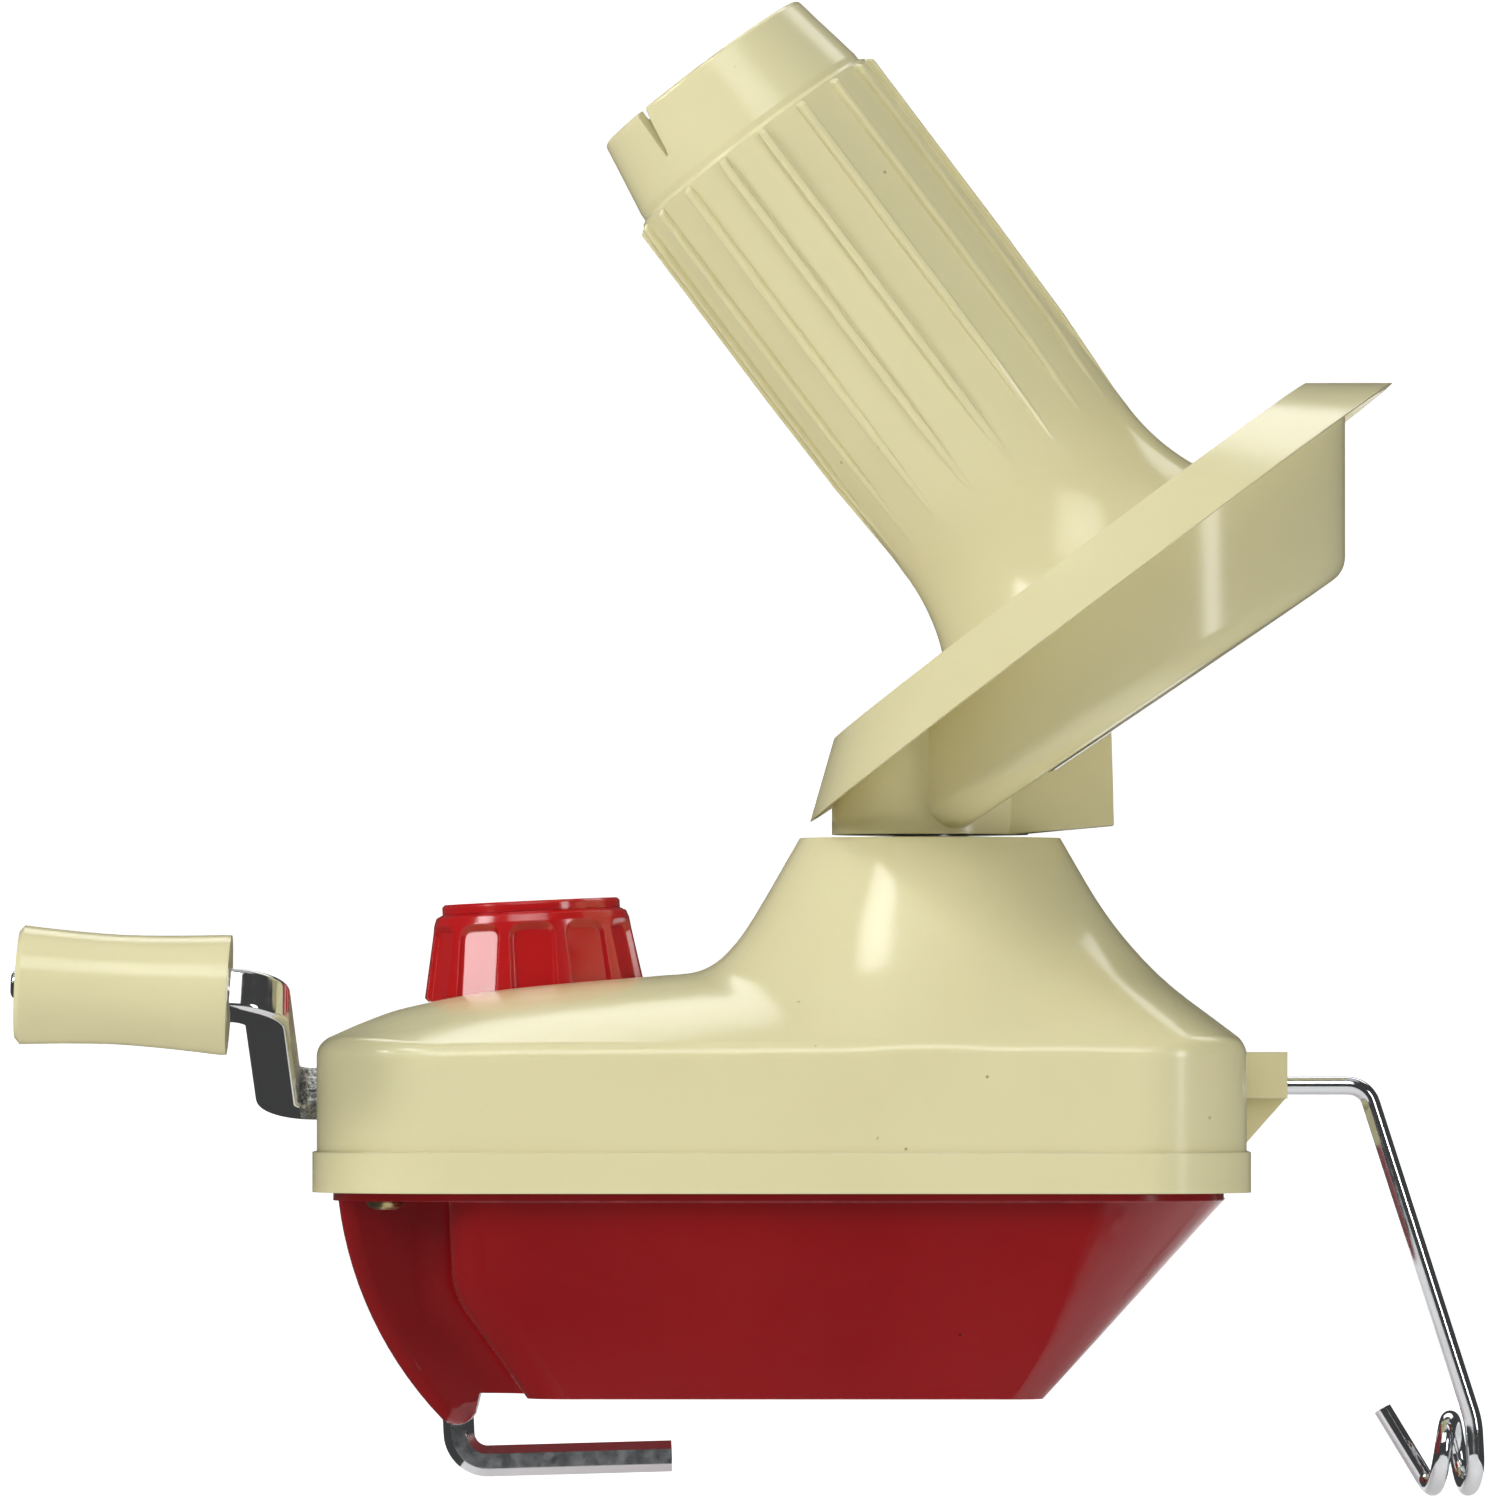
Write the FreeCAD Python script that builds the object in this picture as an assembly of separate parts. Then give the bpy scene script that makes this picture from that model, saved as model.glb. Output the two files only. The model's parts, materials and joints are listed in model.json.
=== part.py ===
import FreeCAD, Part
import math
import os

# Hand-cranked ball winder for knitting yarn. Millimetres, +Z up.
# Origin: where the rotor's vertical axis meets the plane of the base's underside.
# The crank is on the -X end, the yarn guide on the +X end, and the front faces -Y.

V = FreeCAD.Vector
ORIGIN = V(0, 0, 0)
X_AXIS = V(1, 0, 0)
Y_AXIS = V(0, 1, 0)
Z_AXIS = V(0, 0, 1)

# Housing: a cream cover over a red base, joined at the parting line
PARTING_Z = 32.3
WALL = 2.2
LEFT_X = -97.2
RIGHT_X = 49.9
HALF_DEPTH = 43.4
CORNER_LEFT = 21.0
CORNER_RIGHT = 17.0
LIP_OUT = 0.7
LIP_HEIGHT = 6.4
SHOULDER_Z = 55.2
SHOULDER_ROUND = 3.0
TURRET_TOP_Z = 88.6
TURRET_TOP_R = 21.2
TURRET_DRAFT = 0.57          # radius gained for each millimetre down the turret
FLANGE_THICK = 1.3
FLANGE_HALF_DEPTH = 41.0
FLANGE_CORNER = 19.0
RIM_HEIGHT = 3.5             # the base's rim, standing inside the cover
BASE_LEFT_X = -76.0
BASE_RIGHT_X = 46.4
BASE_FLOOR_RIGHT_X = 17.6
BASE_HALF_DEPTH = 40.4
FLANGE_LEFT_X = -94.6
FLOOR = 2.0
FIN_HALF = 6.5
CHEEK_R = 7.0

# Crank and drive gear, turning about the X axis at this height
CRANK_Z = 47.7
CRANK_ARM = 50.0
CRANK_ARM_X = -104.1
CRANK_ARM_RISE = 18.0        # degrees above level, with the arm pointing to the front
CRANK_BAR = 7.0
CRANK_BEND = 5.5
STUB_REACH = 5.6
GRIP_DROOP = 2.9             # degrees between the stub and the crank's axis
GRIP_LENGTH = 33.4
GRIP_PIN_R = 2.8
GRIP_RADIUS = 9.4
GRIP_WAIST = 8.6
HUB_RADIUS = 5.8
HUB_GROOVE_R = 5.1
RUNNING_GAP = 0.05           # radial clearance of what turns or slides
FIT_GAP = 0.02               # radial clearance of what is pressed or pinned

# Gears
WHEEL_TEETH = 46
PINION_TEETH = 12
DRIVE_PITCH_R = 28.75
FACE_WIDTH = 7.8
PRESSURE_ANGLE = 25.0
ADDENDUM = 0.9               # in modules
DEDENDUM = 1.2
FLANK_THINNING = 0.06        # taken off every tooth flank for backlash
FLANK_STEPS = 4

# Rotor: a slanted cup on a vertical spindle, with an inclined bobbin
BOBBIN_TILT = 37.0
APEX_Z = 162.6               # where the bobbin's axis crosses the rotor's axis
POST_R = 3.0
POST_FOOT_R = 4.0
POST_FOOT_Z = 3.0
POST_BOSS_R = 9.0
POST_BOSS_TOP = 15.0
POST_PIN_R = 1.25
POST_PIN_Z = 9.5
SPINDLE_R = 6.0
SPINDLE_BORE_R = 3.08
PINION_SHOULDER_Z = 77.4
ROTOR_BOTTOM_Z = 89.1
ROTOR_FLOOR_Z = 97.0
ROTOR_HUB_R = 15.7
CUP_X = 31.2
CUP_R = 35.2
CUP_WALL = 2.0
CUP_FLOOR_ANGLE = 34.0
CUP_FLOOR_POINT = V(4.8, 0, 89.6)
RIM_BELOW_APEX = 37.2        # the yarn plate's upper rim, measured down the bobbin's axis
PLATE_RIM_R = 47.3
SKIRT_BELOW_APEX = 45.5
SKIRT_R = 58.3
PLATE_THICK = 1.8
PLATE_HOLE_R = 26.3
SUN_OUTER = 63.0             # cone distance of the planetary bevel pair

# Bobbin, heights measured up its axis from the yarn plate's rim
BOBBIN_TOP = 98.0
BOBBIN_TOP_R = 19.4
COLLAR_S = 85.6
COLLAR_R = 21.4
PANEL_TOP = 84.0
PANEL_R = 22.2
RIB_R = 23.4
RIB_WIDTH = 1.4
RIB_ROUND = 0.5
RIB_BOTTOM = 14.5
RIBS = 18
RIB_PHASE = 3.5             # degrees from the front to the nearest rib on the right
FLARE_R = 25.4
NOTCH_TURN = 52.0             # degrees from -X round to the yarn notch
BOBBIN_WALL = 2.0
AXLE_R = 3.0
AXLE_TOP = 57.2
BOSS_BELOW_APEX = 50.2

# Table clamp: a threaded rod drawn up by the red knob
CLAMP_TILT = 2.7
KNOB_TOP = V(-64.2, 13.0, 78.6)
KNOB_HEIGHT = 15.4
KNOB_TOP_R = 15.6
KNOB_BOTTOM_R = 17.8
KNOB_PANELS = 11
KNOB_LAND_TURN = 17.8          # degrees from the front to the nearest land on the right
SLEEVE_R = 4.5
THREAD_R = 2.35
CLAMP_BAR_R = 2.5            # corner radius of the hexagonal bar
FOOT_LEG = V(-75.4, 0, -5.0)
FOOT_Z = -11.1
FOOT_END = V(-41.3, 0, -10.15)
JOG_Z = 36.5

# Yarn guide: a bent wire with a pigtail eyelet
GUIDE_Z = 49.0
GUIDE_R = 1.45
GUIDE_START_X = 41.0
GUIDE_BEND_X = 69.6
GUIDE_LEG_END = V(86.8, 0, -4.6)
EYELET_R = 5.4
EYELET_PITCH = 5.7
EYELET_Z = -9.85
EYELET_X = 87.55

# Housing screws: two under the flange, two in wells in the base
SCREW_R = 1.45
SCREW_HEAD_R = 2.9
SCREW_HEAD_H = 1.5
SCREW_LENGTH = 13.0
LEFT_SCREWS = [(-86.4, -22.0), (-86.4, 22.0)]
RIGHT_SCREWS = [(8.0, -26.0), (8.0, 26.0)]
WELL_Z = 26.0


# ---------------------------------------------------------------- helpers
def turned_about_y(shape, degrees, base):
    """The shape, modelled about its own origin, tipped about Y and moved to base."""
    placed = shape.copy()
    placed.Placement = FreeCAD.Placement(base, FreeCAD.Rotation(Y_AXIS, degrees)).multiply(shape.Placement)
    return placed


def on_bobbin_axis(shape):
    """From the bobbin's frame (origin at the apex, +Z up its axis) to the part's frame."""
    return turned_about_y(shape, -BOBBIN_TILT, V(0, 0, APEX_Z))


def on_clamp_axis(shape):
    """From the knob's frame (origin at the knob's top) to the part's frame."""
    return turned_about_y(shape, -CLAMP_TILT, KNOB_TOP)


def along_x(shape, x):
    """From a frame with +Z along the shaft to the crank's axis, starting at x."""
    return turned_about_y(shape, 90, V(x, 0, CRANK_Z))


def rod(radius, low, high, x=0.0, y=0.0):
    return Part.makeCylinder(radius, high - low, V(x, y, low))


def ring(outer, inner, low, high, x=0.0, y=0.0):
    return rod(outer, low, high, x, y).cut(rod(inner, low - 1, high + 1, x, y))


def turned(profile):
    """A solid of revolution about Z from a closed list of (radius, height)."""
    points = [V(r, 0, z) for r, z in profile]
    return Part.Face(Part.makePolygon(points + points[:1])).revolve(ORIGIN, Z_AXIS, 360)


def prism_y(outline, half_width):
    """A closed XZ outline, given as a wire or as (x, z) points, extruded across Y."""
    if isinstance(outline, list):
        points = [V(x, 0, z) for x, z in outline]
        outline = Part.makePolygon(points + points[:1])
    face = Part.Face(outline)
    face.translate(V(0, -half_width, 0))
    return face.extrude(V(0, 2 * half_width, 0))


def hexagon(corner_radius, z):
    angles = [math.radians(60 * i) for i in range(7)]
    return Part.makePolygon([V(corner_radius * math.cos(a), corner_radius * math.sin(a), z) for a in angles])


def rounded_plan(x0, x1, half, r_left, r_right, low, high):
    """A prism whose plan is a rectangle with its own corner radius at each end."""
    box = Part.makeBox(x1 - x0, 2 * half, high - low, V(x0, -half, low))
    box = box.makeFillet(r_left, [e for e in box.Edges if is_upright(e) and e.CenterOfMass.x < x0 + 1])
    return box.makeFillet(r_right, [e for e in box.Edges if is_upright(e) and e.CenterOfMass.x > x1 - 1])


def round_corners(face, radius, wanted):
    """The outline of a flat face in a plane of constant X, with its wanted corners rounded."""
    block = face.extrude(X_AXIS)
    plane = face.CenterOfMass.x
    edges = [e for e in block.Edges if abs(e.CenterOfMass.x - plane - 0.5) < 1e-6 and wanted(e.CenterOfMass)]
    block = block.makeFillet(radius, edges)
    return [f for f in block.Faces if abs(f.CenterOfMass.x - plane) < 1e-6][0].OuterWire


def is_upright(edge):
    ends = [v.Point for v in edge.Vertexes]
    return len(ends) == 2 and abs(ends[0].x - ends[1].x) < 1e-6 and abs(ends[0].y - ends[1].y) < 1e-6


def bent_path(points, radii):
    """A wire of straight runs whose inner corners are rounded by tangent arcs."""
    edges = []
    start = points[0]
    for before, corner, after, radius in zip(points, points[1:], points[2:], radii):
        arrive = (corner - before).normalize()
        leave = (after - corner).normalize()
        half_turn = arrive.getAngle(leave) / 2
        reach = radius * math.tan(half_turn)
        enter = corner - arrive * reach
        exit_ = corner + leave * reach
        middle = corner + (leave - arrive).normalize() * (radius / math.cos(half_turn) - radius)
        if (enter - start).Length > 1e-4:
            edges.append(Part.LineSegment(start, enter).toShape())
        edges.append(Part.Arc(enter, middle, exit_).toShape())
        start = exit_
    edges.append(Part.LineSegment(start, points[-1]).toShape())
    return Part.Wire(edges)


def swept(path, section):
    """A solid with the given closed section carried along the path from its first point."""
    return path.makePipeShell([section], True, False, 0)


def export(name, shape):
    shape.exportStep("parts/%s.step" % name)
    print("%-22s solids %d valid %s volume %9.1f" % (name, len(shape.Solids), shape.isValid(), shape.Volume))


# ---------------------------------------------------------------- bevel gears
def bevel_outline(teeth, cone, height, tooth_at_zero):
    """The gear's closed tooth outline on the plane at this height above the cone's apex."""
    pitch_v = math.tan(cone)                      # developed pitch radius for a cone distance of 1
    module = 2 * math.sin(cone) / teeth
    cone_distance = height / math.cos(cone)
    base_v = pitch_v * math.cos(math.radians(PRESSURE_ANGLE))
    root_v = pitch_v - DEDENDUM * module
    tip_v = pitch_v + ADDENDUM * module
    teeth_v = teeth / math.cos(cone)

    def involute(r):
        a = math.acos(min(1.0, base_v / r))
        return math.tan(a) - a

    half_at_pitch = math.pi / (2 * teeth_v) - FLANK_THINNING / (cone_distance * pitch_v)
    start = max(base_v, root_v)
    radii = [start + (tip_v - start) * i / FLANK_STEPS for i in range(FLANK_STEPS + 1)]
    if root_v < base_v:
        radii = [root_v] + radii
    flank = []
    for r in radii:
        half = (half_at_pitch + involute(pitch_v) - involute(max(r, base_v))) / math.cos(cone)
        flank.append((half, height * math.tan(cone + math.atan(r - pitch_v))))
    points = []
    for i in range(teeth):
        centre = 2 * math.pi * (i + (0.0 if tooth_at_zero else 0.5)) / teeth
        one_tooth = [(centre - half, r) for half, r in flank]
        one_tooth += [(centre + half, r) for half, r in reversed(flank)]
        points += [V(r * math.cos(a), r * math.sin(a), height) for a, r in one_tooth]
    return Part.makePolygon(points + points[:1])


def bevel_teeth(teeth, cone, low, high, tooth_at_zero):
    """Toothed frustum between two heights. Every flank points at the apex, so the faces are flat."""
    ends = [bevel_outline(teeth, cone, h, tooth_at_zero) for h in (low, high)]
    return Part.makeLoft(ends, True, True)


DRIVE_CONE = math.atan2(WHEEL_TEETH, PINION_TEETH)
PINION_CONE = math.pi / 2 - DRIVE_CONE
SHAFT_ANGLE = math.radians(BOBBIN_TILT)
SUN_CONE = math.atan2(math.sin(SHAFT_ANGLE), WHEEL_TEETH / PINION_TEETH + math.cos(SHAFT_ANGLE))
PLANET_CONE = SHAFT_ANGLE - SUN_CONE
DRIVE_OUTER = DRIVE_PITCH_R / math.sin(DRIVE_CONE)
DRIVE_INNER = DRIVE_OUTER - FACE_WIDTH
SUN_INNER = SUN_OUTER - 6.0
PLANET_LOW = SUN_OUTER * math.cos(PLANET_CONE)    # distances down the bobbin's axis
PLANET_HIGH = SUN_INNER * math.cos(PLANET_CONE)
SUN_LOW_Z = APEX_Z - SUN_OUTER * math.cos(SUN_CONE)
SUN_HIGH_Z = APEX_Z - SUN_INNER * math.cos(SUN_CONE)


# ---------------------------------------------------------------- cover
RIDGE = [(-108, 52.5), (-99, 55.4), (-92.8, 58.2), (-84.8, 61.2), (-68.8, 64.3), (-45.6, 66.4),
         (-20, 68.6), (5, 71.6), (24, 72.6), (32, 69.3), (43.2, 61.3), (51.5, 55.0), (60, 48.5)]


def ridge_height(x):
    """Height of the cover's centre line without its turret, smooth through RIDGE."""
    i = max(j for j in range(len(RIDGE) - 1) if RIDGE[j][0] <= max(x, RIDGE[0][0]))
    (x0, z0), (x1, z1) = RIDGE[i], RIDGE[i + 1]
    slopes = []
    for j in (i, i + 1):
        (xa, za), (xb, zb) = RIDGE[max(j - 1, 0)], RIDGE[min(j + 1, len(RIDGE) - 1)]
        slopes.append((zb - za) / (xb - xa))
    span = x1 - x0
    t = (x - x0) / span
    return ((2 * t**3 - 3 * t**2 + 1) * z0 + (t**3 - 2 * t**2 + t) * span * slopes[0]
            + (3 * t**2 - 2 * t**3) * z1 + (t**3 - t**2) * span * slopes[1])


def roof_height(x, y, inset):
    """The cover's skin: a crowned roof running smoothly up into a conical turret."""
    across = 1 - min(abs(y) / HALF_DEPTH, 1.3) ** 2.3
    roof = SHOULDER_Z + (ridge_height(x) - SHOULDER_Z) * across - inset
    radius = math.sqrt(x * x + y * y + 16)
    slant = math.sqrt(1 + TURRET_DRAFT**2)
    turret = TURRET_TOP_Z + (TURRET_TOP_R - radius - inset * slant) / TURRET_DRAFT
    blend = 9.0
    overlap = max(blend - abs(roof - turret), 0) / blend
    return max(roof, turret) + overlap * overlap * blend / 4


def under_roof(inset, top_z):
    """Everything below the cover's skin, moved inwards by inset."""
    xs = [-107 + 166.0 * i / 46 for i in range(47)]
    ys = [-50 + 100.0 * j / 28 for j in range(29)]
    grid = [[V(x, y, roof_height(x, y, inset)) for y in ys] for x in xs]
    skin = Part.BSplineSurface()
    skin.interpolate(grid)
    below = skin.toShape().extrude(V(0, 0, -150))
    return below.common(Part.makeBox(300, 200, 200, V(-150, -100, top_z - 200)))


def round_shoulder(cover):
    """Rounds the edge all round the cover where its walls meet the roof."""
    curved = [f for f in cover.Faces if f.Surface.TypeId == "Part::GeomBSplineSurface"]
    roof = max(curved, key=lambda f: f.Area)
    edges = [e for e in roof.Edges if e.BoundBox.ZMax < SHOULDER_Z + 10]
    return cover.makeFillet(SHOULDER_ROUND, edges)


def make_top_cover():
    plan = rounded_plan(LEFT_X, RIGHT_X, HALF_DEPTH, CORNER_LEFT, CORNER_RIGHT, PARTING_Z, 120)
    outer = round_shoulder(under_roof(0.0, TURRET_TOP_Z).common(plan))
    lip = rounded_plan(LEFT_X - LIP_OUT, RIGHT_X + LIP_OUT, HALF_DEPTH + LIP_OUT,
                       CORNER_LEFT + LIP_OUT, CORNER_RIGHT + LIP_OUT, PARTING_Z, PARTING_Z + LIP_HEIGHT)
    cavity = under_roof(WALL, TURRET_TOP_Z - WALL).common(
        rounded_plan(LEFT_X + WALL, RIGHT_X - WALL, HALF_DEPTH - WALL,
                     CORNER_LEFT - WALL, CORNER_RIGHT - WALL, PARTING_Z - 1, 120))
    for x, y in LEFT_SCREWS + RIGHT_SCREWS:
        cavity = cavity.cut(rod(4.0, PARTING_Z + 0.2, 70, x, y))
    cavity = cavity.cut(rod(10.5, 79.0, 90))
    cavity = cavity.cut(on_clamp_axis(rod(8.5, -KNOB_HEIGHT - 8, 10)))
    cavity = cavity.cut(turned_about_y(rod(4.2, 43.0, 52.0), 90, V(0, 0, GUIDE_Z)))

    block = prism_y([(49, 47.0), (57, 47.0), (57, 54.4), (49, 54.4)], 5.0)
    gusset = prism_y([(49, 38.2), (50.2, 39.5), (57, 47.2), (49, 47.2)], 1.6)
    cover = outer.fuse([lip, block, gusset]).cut(cavity)
    holes = [rod(SCREW_R + 0.03, PARTING_Z - 1, WELL_Z + 22, x, y) for x, y in LEFT_SCREWS + RIGHT_SCREWS]
    holes.append(rod(8.02, 78, 90))
    holes.append(rod(10.02, TURRET_TOP_Z - 1.0, 90))
    holes.append(turned_about_y(rod(7.02, LEFT_X - 2, LEFT_X + 12), 90, V(0, 0, CRANK_Z)))
    holes.append(turned_about_y(rod(GUIDE_R + RUNNING_GAP, 40.0, 60.0), 90, V(0, 0, GUIDE_Z)))
    holes.append(on_clamp_axis(rod(KNOB_BOTTOM_R + 0.6, -KNOB_HEIGHT - 0.4, 20)))
    holes.append(on_clamp_axis(rod(SLEEVE_R + RUNNING_GAP, -60, 0)))
    return cover.cut(holes).removeSplitter()


# ---------------------------------------------------------------- base
def base_block(inset, top):
    """The box below the flange, sloped at the right and raked at the lower left."""
    left, right, low = BASE_LEFT_X + inset, BASE_FLOOR_RIGHT_X - 0.6 * inset, inset
    slope = (BASE_RIGHT_X - BASE_FLOOR_RIGHT_X) / (PARTING_Z - FLANGE_THICK)
    half = BASE_HALF_DEPTH - inset
    corners = [(left, top), (left + 0.6, 19.4), (left + 3.6, 12.4), (left + 10.8, 2.4), (left + 12.5, low),
               (right, low), (right + slope * (top - low), top)]
    points = [V(x, 0, z) for x, z in corners]
    edges = [Part.LineSegment(a, b).toShape() for a, b in zip(points, points[1:] + points[:1])]
    edges[1] = Part.Arc(points[1], V(left + 1.5, 0, 15.9), points[2]).toShape()
    block = prism_y(Part.Wire(edges), half)

    def side_edges(wanted):
        return [e for e in block.Edges if abs(abs(e.CenterOfMass.y) - half) < 1e-3 and wanted(e.CenterOfMass)]

    right_edges = side_edges(lambda c: c.x > right + 3 and low + 1 < c.z < top - 1)
    for edge in right_edges:
        block = round_growing(block, edge, max(4.0 - inset, 1.0), 19.0 - inset)
    left_edges = side_edges(lambda c: c.x < left + 12 and c.z < top - 1)
    return block.makeFillet(5.5 - inset, left_edges)


def round_growing(shape, edge, low_radius, high_radius):
    """Rounds an edge with a radius that grows from its lower to its upper end."""
    ordered = edge.Vertexes[0].Point.z < edge.Vertexes[-1].Point.z
    radii = (low_radius, high_radius) if ordered else (high_radius, low_radius)
    return shape.makeFillet(radii[0], radii[1], [edge])


def fin_outline():
    """The keel that carries the clamp rod: a swept front curve and a rounded tip."""
    front = Part.Arc(V(-94.6, 0, 31.6), V(-88.9, 0, 11.6), V(-78.0, 0, -4.1)).toShape()
    tip = Part.Arc(V(-78.0, 0, -4.1), V(-75.3, 0, -5.1), V(-72.6, 0, -3.4)).toShape()
    corners = [V(-72.6, 0, -3.4), V(-71.4, 0, 1.9), V(-66.0, 0, 4.0), V(-66.0, 0, 31.6), V(-94.6, 0, 31.6)]
    sides = [Part.LineSegment(a, b).toShape() for a, b in zip(corners, corners[1:])]
    return Part.Wire([front, tip] + sides)


def clamp_leg_x(z):
    """X of the clamp rod's lower leg at height z."""
    return FOOT_LEG.x - math.tan(math.radians(CLAMP_TILT)) * (z - FOOT_LEG.z)


def knob_axis_x(z):
    return KNOB_TOP.x + math.tan(math.radians(CLAMP_TILT)) * (KNOB_TOP.z - z)


def rod_channel():
    """Room for the offset in the clamp rod over its whole travel."""
    low, high, clear = 6.8, 45.0, CLAMP_BAR_R + 0.9
    a = V(clamp_leg_x(low), 0, low)
    b = V(knob_axis_x(low), KNOB_TOP.y, low)
    side = (b - a).cross(Z_AXIS).normalize() * clear
    corners = [a + side, b + side, b - side, a - side]
    up = (on_clamp_axis(Part.Vertex(0, 0, high - low)).Point - KNOB_TOP)
    slab = Part.Face(Part.makePolygon(corners + corners[:1])).extrude(up)
    discs = [Part.Face(Part.Wire(Part.makeCircle(clear, p))).extrude(up) for p in (a, b)]
    return slab.fuse(discs)


def make_base_shell():
    under_flange = PARTING_Z - FLANGE_THICK
    fin = prism_y(fin_outline(), FIN_HALF)
    sides = [e for e in fin.Edges if abs(abs(e.CenterOfMass.y) - FIN_HALF) < 1e-3]
    fin = fin.makeFillet(2.7, [e for e in sides if e.Curve.TypeId == "Part::GeomCircle"])
    body = base_block(0.0, under_flange + 0.3).fuse([fin, keel_web(under_flange)])
    flange = flange_plan(0.0, under_flange, PARTING_Z)
    rim = flange_plan(0.1, PARTING_Z - 0.5, PARTING_Z + RIM_HEIGHT)
    rim = rim.cut(flange_plan(FLOOR, PARTING_Z - 2, PARTING_Z + RIM_HEIGHT + 1))
    cavity = base_block(FLOOR, PARTING_Z + 1)
    wells = [rod(5.2, 0.0, PARTING_Z, x, y) for x, y in RIGHT_SCREWS]
    inside = [rod(POST_BOSS_R, 0.0, POST_BOSS_TOP), Part.makeBox(14, 31, 6.0, V(-37, -15.5, 0))]
    shell = body.fuse([flange, rim]).cut(cavity)
    shell = shell.fuse(wells + inside)
    holes = [rod_channel()]
    holes.append(on_clamp_axis(rod(CLAMP_BAR_R + RUNNING_GAP, -110, -40)).translated(
        V(clamp_leg_x(KNOB_TOP.z) - KNOB_TOP.x, -KNOB_TOP.y, 0)))
    holes.append(rod(POST_FOOT_R + FIT_GAP, POST_FOOT_Z, POST_BOSS_TOP + 1))
    holes.append(post_pin(POST_PIN_R + FIT_GAP, POST_BOSS_R + 1))
    holes += [rod(1.8, -1, PARTING_Z + 1, x, y) for x, y in LEFT_SCREWS + RIGHT_SCREWS]
    holes += [rod(SCREW_HEAD_R + 0.4, -1, WELL_Z, x, y) for x, y in RIGHT_SCREWS]
    holes += [rod(1.2, 2.5, 7, x, y) for x, y in block_screw_places()]
    return shell.cut(holes).removeSplitter()


def flange_plan(inset, low, high):
    """The flange's outline, moved inwards by inset, as a prism between two heights."""
    return rounded_plan(FLANGE_LEFT_X + inset, BASE_RIGHT_X - inset, FLANGE_HALF_DEPTH - inset,
                        FLANGE_CORNER - inset, FLANGE_CORNER - inset, low, high)


def keel_web(top):
    """The hollow-cheeked web that widens the keel where it runs into the box's raked end."""
    knee = V(BASE_LEFT_X - 6.7, 0, 14.7)
    line = [V(BASE_LEFT_X - 6.7, 0, 45), knee, knee + V(0.584, 0, -0.811) * 40]
    path = bent_path(line, [14.0])
    outline = [(line[0].x, top), (knee.x, knee.z + 1), (knee.x + 1.2, knee.z - 2.4),
               (-72.0, 0.05), (BASE_LEFT_X + 14, 0.05), (BASE_LEFT_X + 14, top)]
    web = prism_y(outline, FIN_HALF + CHEEK_R)
    for side in (-1, 1):
        circle = Part.Wire(Part.makeCircle(CHEEK_R, line[0], Z_AXIS))
        cheek = swept(path, circle).translated(V(0, side * (FIN_HALF + CHEEK_R), 0))
        web = web.cut(cheek)
    return web.common(prism_y([(-90, -1), (-50, -1), (-50, top), (-90, top)], FIN_HALF + CHEEK_R - 0.7))


def block_screw_places():
    return [(-30.0, -12.2), (-30.0, 12.2)]


def pan_screw(radius, length, head_r, head_h):
    """A self-tapping pan-head screw, head down, bearing face at height 0, with a cross slot."""
    head = turned([(0, -head_h), (head_r * 0.55, -head_h), (head_r * 0.88, -head_h * 0.72),
                   (head_r, -head_h * 0.3), (head_r, 0), (0, 0)])
    shank = turned([(0, -0.1), (radius, -0.1), (radius, length - 1.5), (0.3, length), (0, length)])
    slots = [Part.makeBox(head_r * 1.1, 0.7, 0.8, V(-head_r * 0.55, -0.35, -head_h - 0.1))]
    slots.append(slots[0].rotated(ORIGIN, Z_AXIS, 90))
    return head.fuse(shank).cut(slots)


def screws_at(places, screw):
    return Part.makeCompound([screw.translated(V(*p)) for p in places])


def make_housing_screws():
    places = [(x, y, PARTING_Z - FLANGE_THICK) for x, y in LEFT_SCREWS]
    places += [(x, y, WELL_Z) for x, y in RIGHT_SCREWS]
    return screws_at(places, pan_screw(SCREW_R, SCREW_LENGTH, SCREW_HEAD_R, SCREW_HEAD_H))


# ---------------------------------------------------------------- crank and drive
def make_crank_rod():
    rise = math.radians(CRANK_ARM_RISE)
    arm = V(0, -math.cos(rise), math.sin(rise)) * CRANK_ARM
    droop = math.radians(GRIP_DROOP)
    stub = V(-math.cos(droop), 0, math.sin(droop))
    centre = V(CRANK_ARM_X, 0, CRANK_Z)
    pin = centre + arm
    path = bent_path([V(-16.0, 0, CRANK_Z), centre, pin, pin + stub * STUB_REACH], [CRANK_BEND, CRANK_BEND])
    bar = swept(path, square_section(path.Vertexes[0].Point.x, CRANK_BAR / 2))
    end = GRIP_LENGTH + 1.0
    pin_profile = [(0, -0.5), (GRIP_PIN_R, -0.5), (GRIP_PIN_R, end - 3.4), (1.6, end - 3.2),
                   (1.6, end - 0.75), (2.1, end - 0.75), (2.1, end - 0.3), (1.5, end), (0, end)]
    return bar.fuse(place_on_stub(turned(pin_profile)))


def square_section(x, half):
    """The crank bar's round-cornered square outline at x, in line with the arm."""
    corners = [V(x, half * a, CRANK_Z + half * b) for a, b in ((-1, -1), (1, -1), (1, 1), (-1, 1))]
    wire = round_corners(Part.Face(Part.makePolygon(corners + corners[:1])), 1.0, lambda p: True)
    return wire.rotated(V(0, 0, CRANK_Z), X_AXIS, -CRANK_ARM_RISE)


def stub_start():
    rise = math.radians(CRANK_ARM_RISE)
    arm = V(0, -math.cos(rise), math.sin(rise)) * CRANK_ARM
    return V(CRANK_ARM_X, 0, CRANK_Z) + arm + stub_direction() * STUB_REACH


def stub_direction():
    droop = math.radians(GRIP_DROOP)
    return V(-math.cos(droop), 0, math.sin(droop))


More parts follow.
